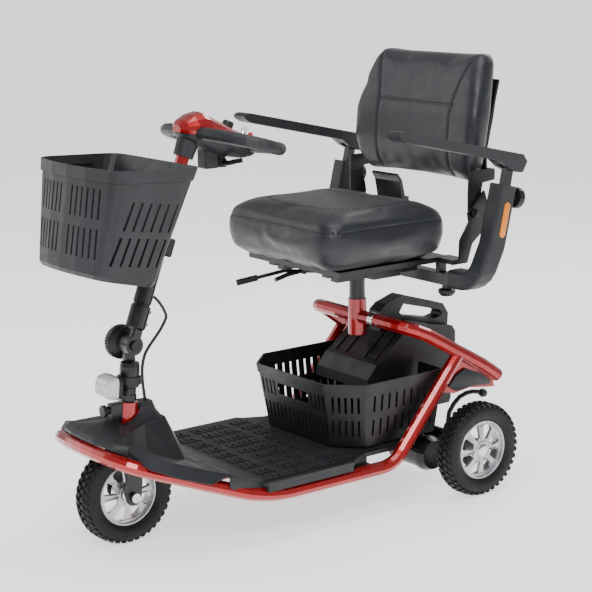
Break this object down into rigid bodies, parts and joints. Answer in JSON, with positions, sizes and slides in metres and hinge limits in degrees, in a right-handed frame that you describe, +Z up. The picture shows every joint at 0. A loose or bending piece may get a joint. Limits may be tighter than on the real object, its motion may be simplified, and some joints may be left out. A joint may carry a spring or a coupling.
{
  "type": "mobility scooter",
  "caption": "Travel mobility scooter with a tube frame, folding tiller, swivel seat with folding back and flip-up armrests, lift-out battery and baskets.",
  "frame": {"origin": "on the floor under the middle of the bounding box", "axes": "+Z up, the rider faces -Y, the rider's left hand is at +X"},
  "size_m": [0.61, 1.0558, 1.012],
  "materials": {
    "frame_red": "candy red gloss paint on steel tube",
    "slate_plastic": "textured dark slate moulding",
    "black_plastic": "fine-grained black moulding",
    "black_metal": "satin black powder coat",
    "deck_rubber": "ribbed floor mat",
    "tyre_rubber": "black tread rubber",
    "rim_silver": "silver painted wheel",
    "vinyl": "stitched black vinyl",
    "bright_steel": "plated steel",
    "lamp_clear": "clear lamp cover",
    "button_red": "red push button"
  },
  "bodies": {
    "chassis": {"lower_frame": "frame_red", "upper_frame": "frame_red", "frame_beam": "frame_red", "lock_bracket": "black_metal", "deck_pan": "slate_plastic", "deck_mat": "deck_rubber", "nose_fairing": "slate_plastic", "tiller_shroud": "slate_plastic", "transaxle": "black_metal", "drive_motor": "black_metal", "rear_basket": "black_plastic", "anti_tip_bar": "black_metal"},
    "battery": {"battery_pack": "black_plastic"},
    "freewheel_lever": {"freewheel_lever": "black_plastic"},
    "steering_lock_pin": {"steering_lock_pin": "black_plastic"},
    "anti_tip_wheel_left": {"anti_tip_wheel_left": "tyre_rubber"},
    "anti_tip_wheel_right": {"anti_tip_wheel_right": "tyre_rubber"},
    "rear_wheel_left": {"rear_tyre_left": "tyre_rubber", "rear_rim_left": "rim_silver"},
    "rear_wheel_right": {"rear_tyre_right": "tyre_rubber", "rear_rim_right": "rim_silver"},
    "steering": {"fork": "black_metal", "front_axle": "bright_steel", "lower_coupling": "black_metal", "headlight_housing": "slate_plastic", "headlight_lens": "lamp_clear", "control_cable": "black_plastic"},
    "front_wheel": {"front_tyre": "tyre_rubber", "front_rim": "rim_silver"},
    "fold_knob": {"fold_knob": "black_plastic"},
    "tiller": {"tiller_joint": "black_metal", "tiller_tube": "frame_red", "console_housing": "slate_plastic", "console_cover": "frame_red", "handlebar": "slate_plastic", "basket_bracket": "black_plastic"},
    "front_basket": {"front_basket": "slate_plastic"},
    "basket_handle": {"basket_handle": "black_plastic"},
    "throttle_lever": {"throttle_lever": "black_plastic"},
    "speed_dial": {"speed_dial": "black_plastic"},
    "ignition_key": {"ignition_key": "bright_steel"},
    "horn_button": {"horn_button": "button_red"},
    "seat_post": {"seat_post": "black_metal"},
    "swivel_plate": {"swivel_plate": "black_metal"},
    "seat": {"seat_base": "black_metal", "seat_cushion": "vinyl"},
    "swivel_lever": {"swivel_lever": "black_plastic"},
    "slide_lever": {"slide_lever": "black_plastic"},
    "backrest": {"back_frame": "black_plastic", "backrest_cushion": "vinyl"},
    "arm_bracket_left": {"arm_bracket_left": "slate_plastic"},
    "arm_post_left": {"arm_post_left": "black_metal"},
    "armrest_left": {"armrest_left": "slate_plastic"},
    "width_knob_left": {"width_knob_left": "black_plastic"},
    "height_knob_left": {"height_knob_left": "black_plastic"},
    "arm_bracket_right": {"arm_bracket_right": "slate_plastic"},
    "arm_post_right": {"arm_post_right": "black_metal"},
    "armrest_right": {"armrest_right": "slate_plastic"},
    "width_knob_right": {"width_knob_right": "black_plastic"},
    "height_knob_right": {"height_knob_right": "black_plastic"}
  },
  "joints": [
    {"name": "steer", "type": "hinge", "parent": "chassis", "child": "steering", "pos_m": [0, -0.3946, 0.11], "axis": [0, 0.0924, 0.9957], "range_deg": [-40, 40]},
    {"name": "front_wheel_spin", "type": "hinge", "parent": "steering", "child": "front_wheel", "pos_m": [0, -0.3946, 0.11], "axis": [1, 0, 0], "continuous": true},
    {"name": "rear_wheel_spin_left", "type": "hinge", "parent": "chassis", "child": "rear_wheel_left", "pos_m": [0.248, 0.4064, 0.11], "axis": [1, 0, 0], "continuous": true},
    {"name": "anti_tip_spin_left", "type": "hinge", "parent": "chassis", "child": "anti_tip_wheel_left", "pos_m": [0.119, 0.5059, 0.036], "axis": [1, 0, 0], "continuous": true},
    {"name": "rear_wheel_spin_right", "type": "hinge", "parent": "chassis", "child": "rear_wheel_right", "pos_m": [-0.248, 0.4064, 0.11], "axis": [1, 0, 0], "continuous": true},
    {"name": "anti_tip_spin_right", "type": "hinge", "parent": "chassis", "child": "anti_tip_wheel_right", "pos_m": [-0.119, 0.5059, 0.036], "axis": [1, 0, 0], "continuous": true},
    {"name": "lock_pin_pull", "type": "slide", "parent": "chassis", "child": "steering_lock_pin", "axis": [0, -1, 0], "range_m": [0, 0.01], "stiffness_N_per_m": 300},
    {"name": "freewheel_turn", "type": "hinge", "parent": "chassis", "child": "freewheel_lever", "pos_m": [0.165, 0.3919, 0.142], "axis": [1, 0, 0], "range_deg": [-20, 0]},
    {"name": "battery_lift", "type": "slide", "parent": "chassis", "child": "battery", "axis": [0, 0, 1], "range_m": [0, 0.02]},
    {"name": "fold_knob_turn", "type": "hinge", "parent": "steering", "child": "fold_knob", "pos_m": [0, -0.3656, 0.432], "axis": [1, 0, 0], "continuous": true},
    {"name": "tiller_fold", "type": "hinge", "parent": "steering", "child": "tiller", "pos_m": [0, -0.3656, 0.432], "axis": [1, 0, 0], "range_deg": [-4, 25], "deforming": ["control_cable"]},
    {"name": "front_basket_lift", "type": "slide", "parent": "tiller", "child": "front_basket", "axis": [0, 0.3518, 0.9361], "range_m": [0, 0.05]},
    {"name": "basket_handle_raise", "type": "hinge", "parent": "front_basket", "child": "basket_handle", "pos_m": [0, -0.35221, 0.80301], "axis": [-1, 0, 0], "range_deg": [0, 100]},
    {"name": "throttle_turn", "type": "hinge", "parent": "tiller", "child": "throttle_lever", "pos_m": [0, -0.1221, 0.797], "axis": [0, 0, 1], "range_deg": [-15, 15], "stiffness_Nm_per_rad": 0.6},
    {"name": "speed_dial_turn", "type": "hinge", "parent": "tiller", "child": "speed_dial", "pos_m": [0, -0.1071, 0.8703], "axis": [0, 0.4226, 0.9063], "range_deg": [-135, 135]},
    {"name": "key_turn", "type": "hinge", "parent": "tiller", "child": "ignition_key", "pos_m": [0.02, -0.0791, 0.8563], "axis": [0, 0.4226, 0.9063], "range_deg": [0, 90]},
    {"name": "horn_press", "type": "slide", "parent": "tiller", "child": "horn_button", "axis": [0, -0.4226, -0.9063], "range_m": [0, 0.0026], "stiffness_N_per_m": 300},
    {"name": "seat_post_lift", "type": "slide", "parent": "chassis", "child": "seat_post", "axis": [0, 0, 1], "range_m": [0, 0.05]},
    {"name": "seat_swivel", "type": "hinge", "parent": "seat_post", "child": "swivel_plate", "pos_m": [0, 0.2529, 0.5003], "axis": [0, 0, 1], "range_deg": [-30, 30]},
    {"name": "swivel_lever_pull", "type": "hinge", "parent": "swivel_plate", "child": "swivel_lever", "pos_m": [-0.075, 0.2209, 0.5035], "axis": [0, 0, 1], "range_deg": [0, 8], "stiffness_Nm_per_rad": 0.6},
    {"name": "slide_lever_pull", "type": "hinge", "parent": "swivel_plate", "child": "slide_lever", "pos_m": [-0.08, 0.1559, 0.513], "axis": [-1, 0, 0], "range_deg": [0, 10], "stiffness_Nm_per_rad": 0.6},
    {"name": "seat_slide", "type": "slide", "parent": "swivel_plate", "child": "seat", "axis": [0, 1, 0], "range_m": [-0.03, 0.03]},
    {"name": "backrest_fold", "type": "hinge", "parent": "seat", "child": "backrest", "pos_m": [0, 0.4169, 0.655], "axis": [1, 0, 0], "range_deg": [0, 70]},
    {"name": "arm_width_left", "type": "slide", "parent": "seat", "child": "arm_bracket_left", "axis": [1, 0, 0], "range_m": [0, 0.04]},
    {"name": "width_knob_turn_left", "type": "hinge", "parent": "seat", "child": "width_knob_left", "pos_m": [0.18, 0.3709, 0.4947], "axis": [0, 0, 1], "continuous": true},
    {"name": "arm_height_left", "type": "slide", "parent": "arm_bracket_left", "child": "arm_post_left", "axis": [0, 0.2181, 0.9759], "range_m": [0, 0.05]},
    {"name": "height_knob_turn_left", "type": "hinge", "parent": "arm_bracket_left", "child": "height_knob_left", "pos_m": [0.281, 0.45871, 0.69716], "axis": [0, 0.9759, -0.2181], "continuous": true},
    {"name": "armrest_flip_left", "type": "hinge", "parent": "arm_post_left", "child": "armrest_left", "pos_m": [0.281, 0.4629, 0.77], "axis": [-1, 0, 0], "range_deg": [0, 88]},
    {"name": "arm_width_right", "type": "slide", "parent": "seat", "child": "arm_bracket_right", "axis": [-1, 0, 0], "range_m": [0, 0.04]},
    {"name": "width_knob_turn_right", "type": "hinge", "parent": "seat", "child": "width_knob_right", "pos_m": [-0.18, 0.3709, 0.4947], "axis": [0, 0, 1], "continuous": true},
    {"name": "arm_height_right", "type": "slide", "parent": "arm_bracket_right", "child": "arm_post_right", "axis": [0, 0.2181, 0.9759], "range_m": [0, 0.05]},
    {"name": "height_knob_turn_right", "type": "hinge", "parent": "arm_bracket_right", "child": "height_knob_right", "pos_m": [-0.281, 0.45871, 0.69716], "axis": [0, 0.9759, -0.2181], "continuous": true},
    {"name": "armrest_flip_right", "type": "hinge", "parent": "arm_post_right", "child": "armrest_right", "pos_m": [-0.281, 0.4629, 0.77], "axis": [-1, 0, 0], "range_deg": [0, 88]}
  ]
}
